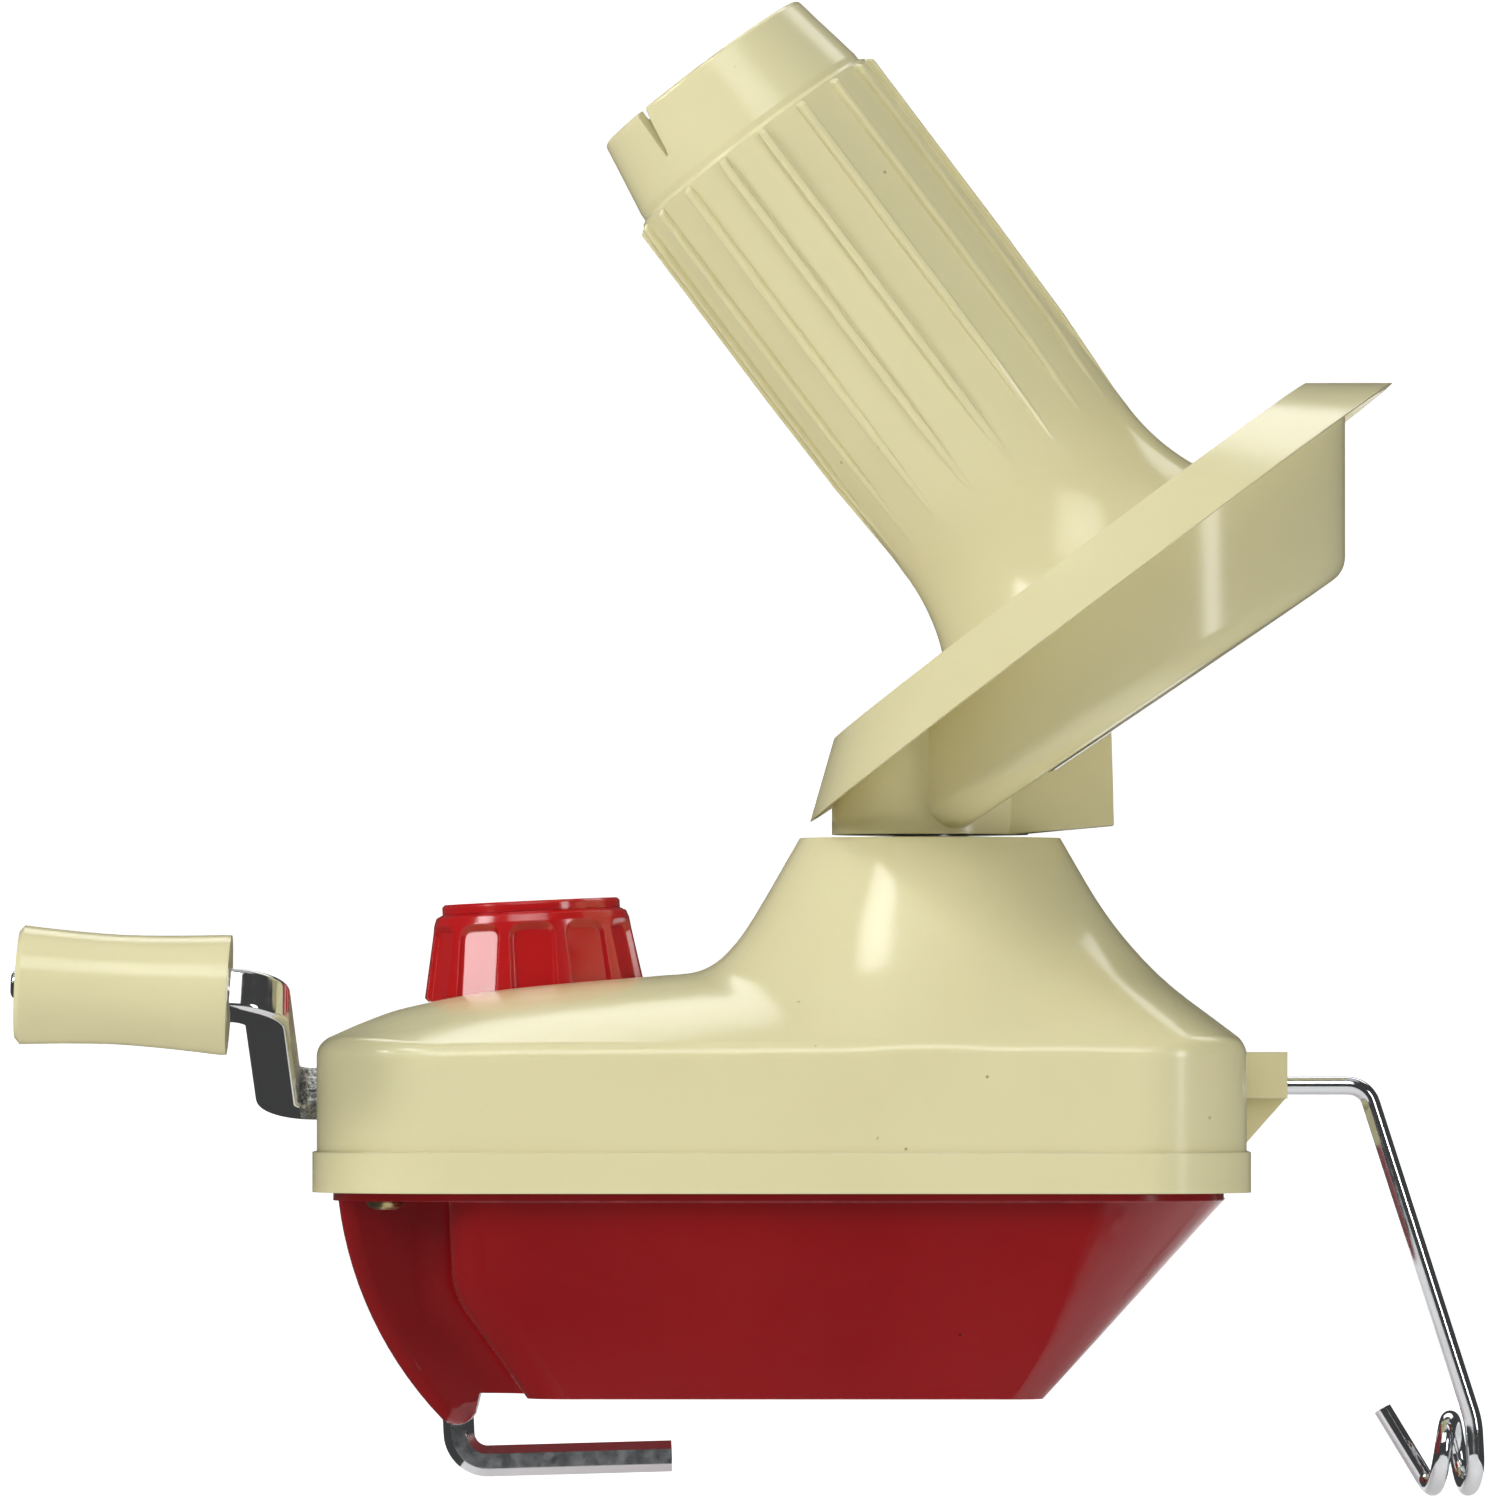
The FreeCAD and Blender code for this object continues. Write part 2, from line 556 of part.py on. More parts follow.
def place_on_stub(shape):
    """From a frame with +Z along the grip to the end of the crank's stub."""
    return turned_about_y(shape, -90 + GRIP_DROOP, stub_start())


def make_handle_grip():
    """A waisted barrel, rounded at its free end, turning on the crank's stub."""
    steps = 24
    skin = []
    for i in range(steps + 1):
        t = i / steps
        swell = abs(2 * t - 1.06) ** 1.6
        radius = GRIP_WAIST + (GRIP_RADIUS - GRIP_WAIST) * min(swell, 1.0)
        skin.append((radius, 0.6 + t * (GRIP_LENGTH - 1.4)))
    curve = Part.BSplineCurve()
    curve.interpolate([V(r, 0, z) for r, z in skin])
    first, last = V(skin[0][0], 0, skin[0][1]), V(skin[-1][0], 0, skin[-1][1])
    rest = [last, V(last.x - 0.9, 0, GRIP_LENGTH), V(0, 0, GRIP_LENGTH), V(0, 0, 0.2), V(first.x, 0, 0.2),
            first]
    edges = [curve.toShape()] + [Part.LineSegment(a, b).toShape() for a, b in zip(rest, rest[1:])]
    grip = Part.Face(Part.Wire(edges)).revolve(ORIGIN, Z_AXIS, 360)
    bore = rod(GRIP_PIN_R + RUNNING_GAP, -1, GRIP_LENGTH - 2.0).fuse(rod(1.66, 0, GRIP_LENGTH + 1))
    return place_on_stub(grip.cut(bore))


def make_drive_gear():
    """A bevel wheel on a long square-bored hub that runs in both crank bearings."""
    module = 2 * DRIVE_PITCH_R / WHEEL_TEETH

    def on_cone(distance, offset):
        """(radius, height) at a cone distance, offset outwards square to the pitch cone."""
        scale = distance / DRIVE_OUTER
        return (distance * math.sin(DRIVE_CONE) + offset * scale * math.cos(DRIVE_CONE),
                distance * math.cos(DRIVE_CONE) - offset * scale * math.sin(DRIVE_CONE))

    tip_in = on_cone(DRIVE_INNER, 2 * module)
    tip_out = on_cone(DRIVE_OUTER, 2 * module)
    back_out = on_cone(DRIVE_OUTER, -2.6 * module)
    blank = turned([(0, 9.6), (tip_in[0] - 1.2, 9.6), tip_in, tip_out, back_out,
                    (back_out[0] - 1.0, 12.8), (0, 12.8)])
    teeth = bevel_teeth(WHEEL_TEETH, DRIVE_CONE, 3.0, 20.0, False)
    hub = rod(8.0, 12.0, 25.7).fuse(rod(HUB_RADIUS, 12.0, 97.4))
    wheel = blank.common(teeth).fuse(hub)
    groove = ring(HUB_RADIUS + 1, HUB_GROOVE_R, 34.3, 35.5)
    bore = Part.Face(square_section(-15.0, CRANK_BAR / 2 + 0.04)).extrude(V(-90, 0, 0))
    return turned_about_y(wheel.cut(groove), -90, V(0, 0, CRANK_Z)).cut(bore)


def make_hub_clip():
    clip = ring(8.2, HUB_GROOVE_R + 0.02, 34.4, 35.4).cut(Part.makeBox(10, 8, 3, V(0, -4, 33.6)))
    return turned_about_y(clip, -90, V(0, 0, CRANK_Z))


def make_crank_bush():
    bush = ring(7.0, HUB_RADIUS + RUNNING_GAP, 0.2, 9.0)
    flange = along_x(ring(9.0, 6.5, WALL + 0.1, WALL + 1.6), LEFT_X)
    below_roof = Part.makeBox(20, 40, 40, V(LEFT_X, -20, 54.0 - 40))
    return along_x(bush, LEFT_X).fuse(flange.common(below_roof))


def make_bearing_block():
    """A pillar on the base floor that carries the gear end of the crank's hub."""
    low, top, half = 6.05, 56.0, 9.0
    pillar = prism_y([(-34, low), (-26, low), (-26, top), (-34, top)], half)
    crown = [e for e in pillar.Edges if abs(e.CenterOfMass.z - top) < 1e-3]
    pillar = pillar.makeFillet(7.0, [e for e in crown if abs(abs(e.CenterOfMass.y) - half) < 1e-3])
    foot = Part.makeBox(14, 31, 3.0, V(-37, -15.5, low))
    bore = turned_about_y(rod(HUB_RADIUS + RUNNING_GAP, -40, -20), 90, V(0, 0, CRANK_Z))
    return pillar.fuse(foot).cut([bore] + [rod(1.6, 5, 10, x, y) for x, y in block_screw_places()])


def make_block_screws():
    screw = pan_screw(1.15, 6.2, 2.2, 1.3).rotated(ORIGIN, X_AXIS, 180)
    return screws_at([(x, y, 9.07) for x, y in block_screw_places()], screw)


# ---------------------------------------------------------------- centre post and sun gear
def make_centre_post():
    low = POST_FOOT_Z + 0.05
    profile = [(0, low), (POST_FOOT_R - 0.5, low), (POST_FOOT_R, low + 0.5), (POST_FOOT_R, 64.4),
               (POST_R, 64.4), (POST_R, 108.4), (POST_R - 0.5, 109.0), (0, 109.0)]
    return turned(profile).cut([cross_pin_hole(), post_pin(POST_PIN_R + FIT_GAP, POST_BOSS_R)])


def cross_pin_hole():
    return Part.makeCylinder(0.77, 20, V(0, -10, SUN_LOW_Z - 1.25), Y_AXIS)


def post_pin(radius, half_length):
    """A pin across the base's boss that holds the post down and stops it turning."""
    return Part.makeCylinder(radius, 2 * half_length, V(0, -half_length, POST_PIN_Z), Y_AXIS)


def make_post_pin():
    return post_pin(POST_PIN_R, POST_BOSS_R - 0.4)


def make_sun_gear():
    teeth = turned_about_y(bevel_teeth(PINION_TEETH, SUN_CONE, APEX_Z - SUN_HIGH_Z, APEX_Z - SUN_LOW_Z, True),
                           180, V(0, 0, APEX_Z))
    hub = rod(5.8, ROTOR_FLOOR_Z + 0.65, SUN_LOW_Z + 0.1)
    return teeth.fuse(hub).cut([rod(POST_R + 0.02, 90, 120), cross_pin_hole()])


def make_sun_pin():
    return Part.makeCylinder(0.75, 11.0, V(0, -5.5, SUN_LOW_Z - 1.25), Y_AXIS)


def make_turret_bush():
    return ring(8.0, SPINDLE_R + RUNNING_GAP, 78.2, 88.7).fuse(ring(10.0, 7.0, TURRET_TOP_Z - 0.98, 88.8))


# ---------------------------------------------------------------- rotor
def make_spindle_tube():
    tube = ring(SPINDLE_R, SPINDLE_BORE_R, PINION_SHOULDER_Z, ROTOR_FLOOR_Z)
    return tube.cut(rod(4.22, PINION_SHOULDER_Z - 1, PINION_SHOULDER_Z + 6.6))


def make_spindle_pinion():
    low = DRIVE_INNER * math.cos(PINION_CONE)
    high = DRIVE_OUTER * math.cos(PINION_CONE)
    teeth = bevel_teeth(PINION_TEETH, PINION_CONE, low - 0.4, high, True).translated(V(0, 0, CRANK_Z))
    lower_hub = rod(4.0, 65.1, CRANK_Z + low)
    shoulder = rod(SPINDLE_R, CRANK_Z + high - 0.1, PINION_SHOULDER_Z)
    spigot = rod(4.2, CRANK_Z + high, PINION_SHOULDER_Z + 6.4)
    return teeth.fuse([lower_hub, shoulder, spigot]).cut(rod(SPINDLE_BORE_R, 60, 90))


def make_spindle_washer():
    return ring(5.0, POST_R + RUNNING_GAP, 64.45, 65.05)


def cup_block(inset):
    """The cup's outer form: an upright cylinder with a slanted, round-edged floor."""
    radius = CUP_R - inset
    slope = math.radians(CUP_FLOOR_ANGLE)
    up = V(-math.sin(slope), 0, math.cos(slope))
    point = CUP_FLOOR_POINT + up * inset
    column = rod(radius, 60, 175, CUP_X)
    slab = Part.makeBox(200, 120, 120, V(-100, -60, 0))
    slab.Placement = FreeCAD.Placement(point, FreeCAD.Rotation(Y_AXIS, -CUP_FLOOR_ANGLE))
    block = column.common(slab)
    rim = [e for e in block.Edges if e.Curve.TypeId in ("Part::GeomEllipse", "Part::GeomBSplineCurve")]
    return block.makeFillet(4.5 - 0.5 * inset, rim)


def below_plate(clearance):
    """Room under the yarn plate and inside its skirt, in the bobbin's frame."""
    slope = (SKIRT_R - PLATE_RIM_R) / (SKIRT_BELOW_APEX - RIM_BELOW_APEX)
    top = -(RIM_BELOW_APEX + 1.0 + PLATE_THICK + clearance)
    top_r = PLATE_RIM_R + slope * (-top - RIM_BELOW_APEX) - 2.0 - clearance
    low = -110.0
    return on_bobbin_axis(turned([(0, low), (top_r + slope * (top - low), low), (top_r, top), (0, top)]))


def make_rotor_cup():
    hub = rod(ROTOR_HUB_R, ROTOR_BOTTOM_Z, 140)
    above_turret = Part.makeBox(200, 200, 200, V(-100, -100, ROTOR_BOTTOM_Z))
    outer = cup_block(0.0).common(above_turret).fuse(hub).common(below_plate(0.05))
    weight_box = prism_y([(9.0, ROTOR_BOTTOM_Z), (12.8, ROTOR_BOTTOM_Z), (29.3, 90.6), (28.9, 105.4),
                          (20, 99.4), (9.0, 96.0)], 9.0)
    outer = outer.fuse(weight_box)
    inner_hub = rod(ROTOR_HUB_R - CUP_WALL, ROTOR_FLOOR_Z, 140)
    floor_pad = rod(ROTOR_HUB_R, 80, ROTOR_FLOOR_Z)
    cavity = cup_block(CUP_WALL).cut(floor_pad).fuse(inner_hub).common(below_plate(-5.0))
    axle_boss = on_bobbin_axis(rod(7.0, -90.0, -BOSS_BELOW_APEX))
    cup = outer.cut(cavity.cut(axle_boss))
    screw_posts = [on_bobbin_axis(rod(3.4, -75, -45, x, y)) for x, y in plate_screw_places()]
    cup = cup.fuse([p.common(cup_block(0.5)).common(below_plate(0.05)) for p in screw_posts])
    cup = cup.cut([rod(SPINDLE_R + 0.02, 80, ROTOR_FLOOR_Z + 1)])
    cup = cup.cut([on_bobbin_axis(rod(AXLE_R + 0.02, -(PLANET_LOW + 7.0), -40))])
    return cup.cut([on_bobbin_axis(rod(1.17, -50, -38, x, y)) for x, y in plate_screw_places()])


def plate_screw_places():
    """Points in the plate's plane, in the bobbin's frame, outside the planet gear."""
    return [(27.5, 25.0), (27.5, -25.0)]


def make_yarn_plate():
    """A flat annular floor inside a shallow rim, and a conical skirt that sheds the yarn."""
    rim, skirt = -RIM_BELOW_APEX, -SKIRT_BELOW_APEX
    floor_top, floor_low = rim - 1.0, rim - 1.0 - PLATE_THICK
    slope = (SKIRT_R - PLATE_RIM_R) / (rim - skirt)
    profile = [(PLATE_HOLE_R, floor_low), (PLATE_HOLE_R, floor_top), (PLATE_RIM_R - 2.2, floor_top),
               (PLATE_RIM_R - 1.2, rim), (PLATE_RIM_R, rim), (SKIRT_R, skirt), (SKIRT_R - 0.9, skirt - 0.1),
               (PLATE_RIM_R - 2.0 + slope * (rim - floor_low), floor_low)]
    holes = [rod(1.25, floor_low - 1, floor_top + 1, x, y) for x, y in plate_screw_places()]
    return on_bobbin_axis(turned(profile).cut(holes))


def make_plate_screws():
    screw = pan_screw(1.14, 9.0, 2.3, 0.95).rotated(ORIGIN, X_AXIS, 180)
    top = -(RIM_BELOW_APEX + 1.0)
    return on_bobbin_axis(screws_at([(x, y, top) for x, y in plate_screw_places()], screw))


# ---------------------------------------------------------------- bobbin
def bobbin_height(s):
    """Height in the bobbin's frame for a distance s above the yarn plate's rim."""
    return s - RIM_BELOW_APEX


def make_bobbin_axle():
    low, top = -(PLANET_LOW + 6.95), bobbin_height(AXLE_TOP)
    axle = rod(AXLE_R, low, top).cut(rod(1.48, top - 9, top + 1))
    return on_bobbin_axis(axle)


def make_axle_screw():
    screw = pan_screw(SCREW_R, 8.0, 2.8, 1.7).rotated(ORIGIN, X_AXIS, 180)
    return on_bobbin_axis(screw.translated(V(0, 0, bobbin_height(AXLE_TOP) + 1.0)))


def make_axle_cap_washer():
    top = bobbin_height(AXLE_TOP)
    return on_bobbin_axis(ring(6.0, 1.5, top, top + 1.0))


def make_axle_foot_washer():
    return on_bobbin_axis(ring(6.4, AXLE_R + RUNNING_GAP, -BOSS_BELOW_APEX + 0.05, -BOSS_BELOW_APEX + 0.65))


def make_bobbin_gear():
    teeth = turned_about_y(bevel_teeth(WHEEL_TEETH, PLANET_CONE, PLANET_HIGH, PLANET_LOW, False),
                           180 - BOBBIN_TILT, V(0, 0, APEX_Z))
    shelf = -42.7
    disc = rod(24.0, -PLANET_HIGH - 0.1, shelf)
    spigot = ring(22.0, 20.5, shelf - 0.1, -39.0)
    hub = rod(7.0, -49.4, -39.0)
    pocket = rod(20.0, -PLANET_LOW - 0.1, -49.4)
    hollow = rod(19.0, -46.0, shelf + 1)
    gear = teeth.fuse(on_bobbin_axis(disc.fuse(spigot)))
    gear = gear.cut([on_bobbin_axis(pocket), on_bobbin_axis(hollow)]).fuse(on_bobbin_axis(hub))
    return gear.cut(on_bobbin_axis(rod(4.3, -60, -30)))


def make_bobbin_bushes():
    """Two brass bushes: one in the gear's hub and one in the tower's web."""
    upper = bobbin_height(AXLE_TOP) - 0.15
    spans = [(-49.45, -40.0), (upper - 9.45, upper)]
    bushes = [ring(4.28, AXLE_R + RUNNING_GAP, low, high) for low, high in spans]
    return on_bobbin_axis(Part.makeCompound(bushes))


def rib():
    """One straight rib of the tower, in the XZ plane, fading out towards the flare."""
    top = PANEL_TOP - 0.4
    outline = [(PANEL_R - 1.0, RIB_BOTTOM), (PANEL_R, RIB_BOTTOM), (RIB_R - 0.25, 32.0), (RIB_R, 50.0),
               (RIB_R, top - 0.6), (RIB_R - 0.6, top), (PANEL_R - 1.0, top)]
    bar = prism_y([(r, bobbin_height(s)) for r, s in outline], RIB_WIDTH / 2)
    outer = [e for e in bar.Edges if e.CenterOfMass.x > RIB_R - 0.8]
    return bar.makeFillet(RIB_ROUND, [e for e in outer if abs(e.CenterOfMass.y) > RIB_WIDTH / 2 - 1e-6])


def make_bobbin_tower():
    """A hollow ribbed tower, flared at the foot, with a notched collar that takes the yarn's end."""
    foot, top, wall = -5.5, BOBBIN_TOP, BOBBIN_WALL

    def at(radius, s):
        return V(radius, 0, bobbin_height(s))

    edges = [Part.Arc(at(FLARE_R, 0), at(23.2, 6.5), at(22.35, 15.0)).toShape()]
    outside = [at(22.35, 15.0), at(PANEL_R, PANEL_TOP), at(COLLAR_R, PANEL_TOP + 0.5), at(COLLAR_R, COLLAR_S),
               at(BOBBIN_TOP_R, top - 0.8)]
    inside = [at(BOBBIN_TOP_R - 0.9, top), at(BOBBIN_TOP_R - wall, top), at(COLLAR_R - wall, COLLAR_S),
              at(PANEL_R - wall, 60.0), at(PANEL_R - wall, 4.0), at(22.06, foot + 4.2), at(22.06, foot),
              at(FLARE_R, foot), at(FLARE_R, 0)]
    edges += [Part.LineSegment(a, b).toShape() for a, b in zip(outside, outside[1:])]
    edges.append(Part.Arc(outside[-1], at(BOBBIN_TOP_R - 0.3, top - 0.2), inside[0]).toShape())
    edges += [Part.LineSegment(a, b).toShape() for a, b in zip(inside, inside[1:])]
    shell = Part.Face(Part.Wire(edges)).revolve(ORIGIN, Z_AXIS, 360)
    web_top = bobbin_height(AXLE_TOP) - 1.2
    web = rod(PANEL_R - wall + 0.5, web_top - 2.5, web_top)
    tube = rod(7.0, web_top - 9.0, web_top + 1.0)
    ribs = [rib().rotated(ORIGIN, Z_AXIS, -90 + RIB_PHASE + 360.0 * i / RIBS) for i in range(RIBS)]
    tower = shell.fuse([web, tube] + ribs).cut(rod(4.3, web_top - 20, web_top + 5))
    return on_bobbin_axis(tower.cut(yarn_notch()))


def yarn_notch():
    """The tapered slit in the collar's edge."""
    top, low = bobbin_height(BOBBIN_TOP) + 1, bobbin_height(BOBBIN_TOP - 8.3)
    outline = [(-1.15, top), (-0.25, low), (0.25, low), (1.15, top)]
    slit = prism_y(outline, 15.0).translated(V(0, 25.0, 0))
    return slit.rotated(ORIGIN, Z_AXIS, 90.0 + NOTCH_TURN)


# ---------------------------------------------------------------- table clamp
def knob_panel():
    """A shallow recess with sloping sides and rounded top corners, on the +X side of the knob."""
    half, top, low, out = 3.1, -4.4, -KNOB_HEIGHT - 1.0, 2.5

    def outline(x, grow):
        side, head = half + grow, top + grow
        corners = [V(x, -side, low), V(x, -side, head), V(x, side, head), V(x, side, low)]
        face = Part.Face(Part.makePolygon(corners + corners[:1]))
        return round_corners(face, 1.3 + 0.5 * grow, lambda p: p.z > low + 1)

    recess = Part.makeLoft([outline(0, 0), outline(out, out)], True, True)
    lean = math.degrees(math.atan2(KNOB_BOTTOM_R - KNOB_TOP_R, KNOB_HEIGHT - 3.0))
    recess = recess.translated(V(0, 0, KNOB_HEIGHT))
    return turned_about_y(recess, -lean, V(KNOB_BOTTOM_R - 1.0, 0, -KNOB_HEIGHT))


def make_clamp_knob():
    low = -KNOB_HEIGHT
    body = turned([(0, low), (KNOB_BOTTOM_R - 0.6, low), (KNOB_BOTTOM_R, low + 0.6), (KNOB_TOP_R + 0.1, -3.2),
                   (KNOB_TOP_R - 0.3, -2.1), (KNOB_TOP_R - 1.2, -1.65), (0, -1.65)])
    panels = [knob_panel().rotated(ORIGIN, Z_AXIS, -90 + KNOB_LAND_TURN + 360.0 * (i + 0.5) / KNOB_PANELS)
              for i in range(KNOB_PANELS)]
    hex_pocket = Part.Face(hexagon(6.45, -4.5)).extrude(V(0, 0, 4))
    cuts = panels + [ring(14.0, 8.0, low - 1, -4.6), rod(SLEEVE_R + 0.02, low - 1, -4), hex_pocket]
    return on_clamp_axis(body.cut(cuts))


def make_knob_cap():
    return on_clamp_axis(turned([(0, -1.63), (14.3, -1.63), (14.3, -0.4), (13.9, 0), (0, 0)]))


def make_clamp_sleeve():
    """A brass nut with a long threaded barrel, keyed into the knob by its hexagonal head."""
    head = Part.Face(hexagon(6.4, -4.5)).extrude(V(0, 0, 2.83))
    barrel = rod(SLEEVE_R, -33.5, -4.4)
    groove = ring(SLEEVE_R + 1, 3.9, -24.85, -23.75)
    return on_clamp_axis(head.fuse(barrel).cut([rod(THREAD_R + RUNNING_GAP, -40, 0), groove]))


def make_sleeve_clip():
    clip = ring(7.4, 3.92, -24.8, -23.8).cut(Part.makeBox(10, 5, 3, V(0, -2.5, -26)))
    return on_clamp_axis(clip)


def make_clamp_rod():
    """One hexagonal bar: threaded leg, sideways offset, guided leg and the foot under the table."""
    start_z = 43.0
    points = [V(knob_axis_x(start_z), KNOB_TOP.y, start_z), V(knob_axis_x(JOG_Z), KNOB_TOP.y, JOG_Z),
              V(clamp_leg_x(JOG_Z), 0, JOG_Z), V(clamp_leg_x(FOOT_Z), 0, FOOT_Z), FOOT_END]
    section = turned_about_y(hexagon(CLAMP_BAR_R, 0), -CLAMP_TILT, points[0])
    bar = swept(bent_path(points, [3.8, 3.8, 4.6]), section)
    thread = rod(THREAD_R, start_z - KNOB_TOP.z - 1.0, -4.9).fuse(rod(1.9, -5.0, -4.2))
    return bar.fuse(on_clamp_axis(thread))


# ---------------------------------------------------------------- yarn guide
def eyelet_corner(turn_degrees):
    """A corner of the polygon whose rounded runs make the pigtail's coil."""
    a = math.radians(turn_degrees)
    reach = EYELET_R / math.cos(math.radians(22.5))
    return V(EYELET_X - EYELET_PITCH * turn_degrees / 360, EYELET_R - reach * math.cos(a),
             EYELET_Z - reach * math.sin(a))


def make_yarn_guide():
    coil = [eyelet_corner(22.5 + 45 * i) for i in range(11)]
    points = [V(GUIDE_START_X, 0, GUIDE_Z), V(GUIDE_BEND_X, 0, GUIDE_Z), GUIDE_LEG_END] + coil
    points.append(V(72.6, 9.6, -2.9))
    radii = [4.0, 14.0] + [5.2] * (len(coil) - 1) + [2.6]
    section = Part.Wire(Part.makeCircle(GUIDE_R, points[0], X_AXIS))
    return swept(bent_path(points, radii), section)


def make_guide_clip():
    return turned_about_y(ring(4.4, GUIDE_R + 0.02, 41.9, 42.6), 90, V(0, 0, GUIDE_Z))


def main():
    os.makedirs("parts", exist_ok=True)
    for name, make in NODES.items():
        export(name, make())


NODES = {
    "top_cover": make_top_cover,
    "base_shell": make_base_shell,
    "housing_screws": make_housing_screws,
    "crank_rod": make_crank_rod,
    "handle_grip": make_handle_grip,
    "drive_gear": make_drive_gear,
    "hub_clip": make_hub_clip,
    "crank_bush": make_crank_bush,
    "bearing_block": make_bearing_block,
    "block_screws": make_block_screws,
    "centre_post": make_centre_post,
    "post_pin": make_post_pin,
    "sun_gear": make_sun_gear,
    "sun_pin": make_sun_pin,
    "turret_bush": make_turret_bush,
    "spindle_tube": make_spindle_tube,
    "spindle_pinion": make_spindle_pinion,
    "rotor_cup": make_rotor_cup,
    "spindle_washer": make_spindle_washer,
    "yarn_plate": make_yarn_plate,
    "plate_screws": make_plate_screws,
    "bobbin_axle": make_bobbin_axle,
    "axle_screw": make_axle_screw,
    "axle_cap_washer": make_axle_cap_washer,
    "axle_foot_washer": make_axle_foot_washer,
    "bobbin_gear": make_bobbin_gear,
    "bobbin_bushes": make_bobbin_bushes,
    "bobbin_tower": make_bobbin_tower,
    "clamp_knob": make_clamp_knob,
    "knob_cap": make_knob_cap,
    "clamp_sleeve": make_clamp_sleeve,
    "sleeve_clip": make_sleeve_clip,
    "clamp_rod": make_clamp_rod,
    "yarn_guide": make_yarn_guide,
    "guide_clip": make_guide_clip,
}

main()
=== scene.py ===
import bpy
import json
import math
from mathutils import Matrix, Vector


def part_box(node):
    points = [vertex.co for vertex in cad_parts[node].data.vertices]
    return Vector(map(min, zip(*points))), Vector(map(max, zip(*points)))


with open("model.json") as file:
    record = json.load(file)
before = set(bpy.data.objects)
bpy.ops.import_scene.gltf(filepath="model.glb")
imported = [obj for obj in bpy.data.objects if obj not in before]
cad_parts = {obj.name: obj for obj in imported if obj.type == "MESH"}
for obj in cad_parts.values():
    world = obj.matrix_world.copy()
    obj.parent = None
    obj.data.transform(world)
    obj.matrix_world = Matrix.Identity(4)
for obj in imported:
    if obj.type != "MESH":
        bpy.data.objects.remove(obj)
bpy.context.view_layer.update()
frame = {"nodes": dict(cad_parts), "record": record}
nodes = frame["nodes"]
scene = bpy.context.scene

# Metres
CLAMP_TRAVEL = 0.0261        # how far down the clamp's foot can go
FLOOR_GAP = 0.0005           # left under the foot at its lowest
CRIMP_REACH = 0.0028         # how far out of the cover the crank bar is crimped
MOULDED_EDGE = 0.00035       # radius of a moulding's edges
METAL_EDGE = 0.0002

# The studio, in metres and watts
STUDIO_MIDDLE = (-0.02, 0.0, 0.1)
ROOM_HALF = 9.0
TABLE_LEFT = -0.098          # the patch of floor that shows in reflections
TABLE_RIGHT = 0.18
TABLE_NEAR = -0.6
TABLE_FAR = 0.9
WALL_START = 5.0
WALL_BEND = 1.5
WALL_TOP = 6.0
BEND_STEPS = 12
REFLECTED_WORLD = 0.06
SEEN_WORLD = 0.95
FRONT_GLOW = 0.18
BACK_GLOW = 0.92
GLOW_FROM = 0.1              # where along Y the glow begins to rise

# The camera
EYE = (-0.008, -2.2, 0.062)
CAMERA_TARGET = (-0.0288, 0.0, 0.1027)
VIEW_WIDTH = 0.24            # metres across the frame at the target
SENSOR_WIDTH = 36.0


